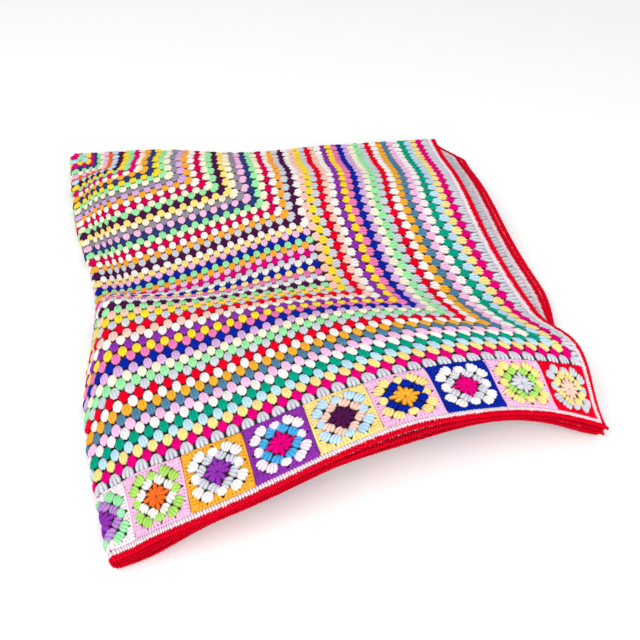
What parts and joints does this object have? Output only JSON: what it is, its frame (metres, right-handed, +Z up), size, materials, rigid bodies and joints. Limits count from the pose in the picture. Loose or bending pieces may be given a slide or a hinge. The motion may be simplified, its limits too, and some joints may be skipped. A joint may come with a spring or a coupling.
{
  "type": "granny square blanket",
  "caption": "Crocheted granny blanket of striped cluster rounds with joined squares at its ends and a red edging, folded in quarters.",
  "frame": {"origin": "centre of the folded blanket's footprint, on the surface it lies on", "axes": "+X from the second fold towards the free side edges, +Y from the free end edges towards the first fold, +Z up"},
  "size_m": [0.7834, 0.9097, 0.0879],
  "materials": {
    "panel_yarn": "matte multicoloured crochet",
    "outer_squares_yarn": "matte multicoloured crochet",
    "inner_squares_yarn": "matte multicoloured crochet",
    "edging_yarn": "matte red crochet"
  },
  "bodies": {
    "root": {"granny_panel": "panel_yarn", "square_strip_outer": "outer_squares_yarn", "square_strip_inner": "inner_squares_yarn", "crochet_edging": "edging_yarn"}
  },
  "joints": []
}
